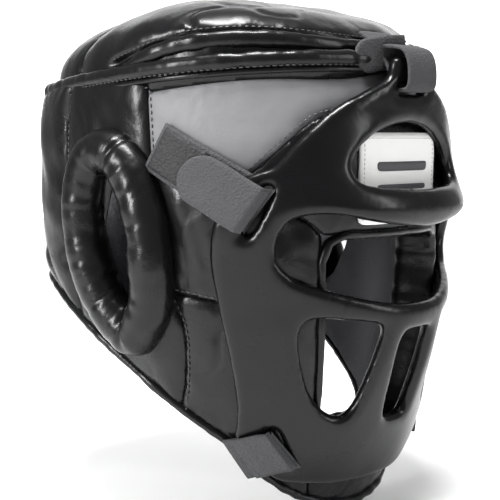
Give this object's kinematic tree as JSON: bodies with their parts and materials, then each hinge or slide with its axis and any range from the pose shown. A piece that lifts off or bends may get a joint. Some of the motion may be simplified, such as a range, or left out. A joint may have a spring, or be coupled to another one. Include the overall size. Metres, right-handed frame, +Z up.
{
  "type": "boxing headgear",
  "caption": "Padded head guard with open ear rolls, padded crown and a removable moulded face cage held by hook-and-loop straps.",
  "frame": {"origin": "centre of the head cavity, half way between the centres of the two ear openings", "axes": "+Z up, -Y the way the face looks, +X towards the wearer's left"},
  "size_m": [0.245, 0.2496, 0.2821],
  "materials": {
    "black_leather": "glossy padded synthetic leather",
    "grey_leather": "fine-grained matt synthetic leather",
    "binding_leather": "glossy folded binding tape",
    "cage_moulding": "satin-gloss moulded",
    "foam": "closed-cell foam",
    "lining_cloth": "brushed knit",
    "loop_strap": "brushed loop pile",
    "label": "plain woven patch"
  },
  "bodies": {
    "guard": {"back_panel_cover_left": "black_leather", "back_panel_cover_right": "black_leather", "brow_band_left": "black_leather", "brow_band_right": "black_leather", "cheek_foam_left": "foam", "cheek_foam_right": "foam", "cheek_lining_left": "lining_cloth", "cheek_lining_right": "lining_cloth", "chin_foam": "foam", "chin_lining": "lining_cloth", "chin_pad_cover": "black_leather", "closure_hook_patch": "loop_strap", "closure_strap_root": "loop_strap", "crown_back_cover": "black_leather", "crown_edging": "binding_leather", "crown_foam": "foam", "crown_gusset_left": "black_leather", "crown_gusset_right": "black_leather", "crown_lining": "lining_cloth", "crown_piping": "binding_leather", "crown_top_cover": "black_leather", "ear_panel_cover_left": "black_leather", "ear_panel_cover_right": "black_leather", "ear_roll_left": "black_leather", "ear_roll_right": "black_leather", "face_opening_binding": "binding_leather", "forehead_foam": "foam", "forehead_lining": "lining_cloth", "forehead_pad_cover": "black_leather", "label_patch": "label", "lower_cheek_cover_left": "black_leather", "lower_cheek_cover_right": "black_leather", "neck_binding": "binding_leather", "side_foam_left": "foam", "side_foam_right": "foam", "side_lining_left": "lining_cloth", "side_lining_right": "lining_cloth", "temple_panel_left": "grey_leather", "temple_panel_right": "grey_leather", "upper_cheek_cover_left": "black_leather", "upper_cheek_cover_right": "black_leather"},
    "cage": {"face_cage": "cage_moulding", "crown_strap_base": "loop_strap", "temple_strap_base_left": "loop_strap", "temple_strap_base_right": "loop_strap", "jaw_strap_base_left": "loop_strap", "jaw_strap_base_right": "loop_strap"},
    "temple_flap_left": {"temple_strap_flap_left": "loop_strap"},
    "temple_flap_right": {"temple_strap_flap_right": "loop_strap"},
    "jaw_flap_left": {"jaw_strap_flap_left": "loop_strap"},
    "jaw_flap_right": {"jaw_strap_flap_right": "loop_strap"},
    "crown_flap": {"crown_strap_flap": "loop_strap"},
    "closure_flap": {"closure_strap_flap": "loop_strap"}
  },
  "joints": [
    {"name": "cage_release", "type": "slide", "parent": "guard", "child": "cage", "axis": [0, -1, 0], "range_m": [0, 0.15]},
    {"name": "temple_flap_right_peel", "type": "hinge", "parent": "cage", "child": "temple_flap_right", "pos_m": [-0.0948, -0.078, 0.016], "axis": [0.3226, -0.4839, 0.8135], "range_deg": [0, 120]},
    {"name": "temple_flap_left_peel", "type": "hinge", "parent": "cage", "child": "temple_flap_left", "pos_m": [0.0948, -0.078, 0.016], "axis": [0.3226, 0.4839, -0.8135], "range_deg": [0, 120]},
    {"name": "jaw_flap_right_peel", "type": "hinge", "parent": "cage", "child": "jaw_flap_right", "pos_m": [-0.0807, -0.076, -0.11], "axis": [-0.523, 0.3634, 0.771], "range_deg": [0, 120]},
    {"name": "jaw_flap_left_peel", "type": "hinge", "parent": "cage", "child": "jaw_flap_left", "pos_m": [0.0807, -0.076, -0.11], "axis": [-0.523, -0.3634, -0.771], "range_deg": [0, 120]},
    {"name": "crown_flap_peel", "type": "hinge", "parent": "cage", "child": "crown_flap", "pos_m": [0, -0.1168, 0.0784], "axis": [1, 0, 0], "range_deg": [0, 120]},
    {"name": "closure_flap_peel", "type": "hinge", "parent": "guard", "child": "closure_flap", "pos_m": [0.014, 0.1286, 0.011], "axis": [0, 0, -1], "range_deg": [0, 120]}
  ]
}
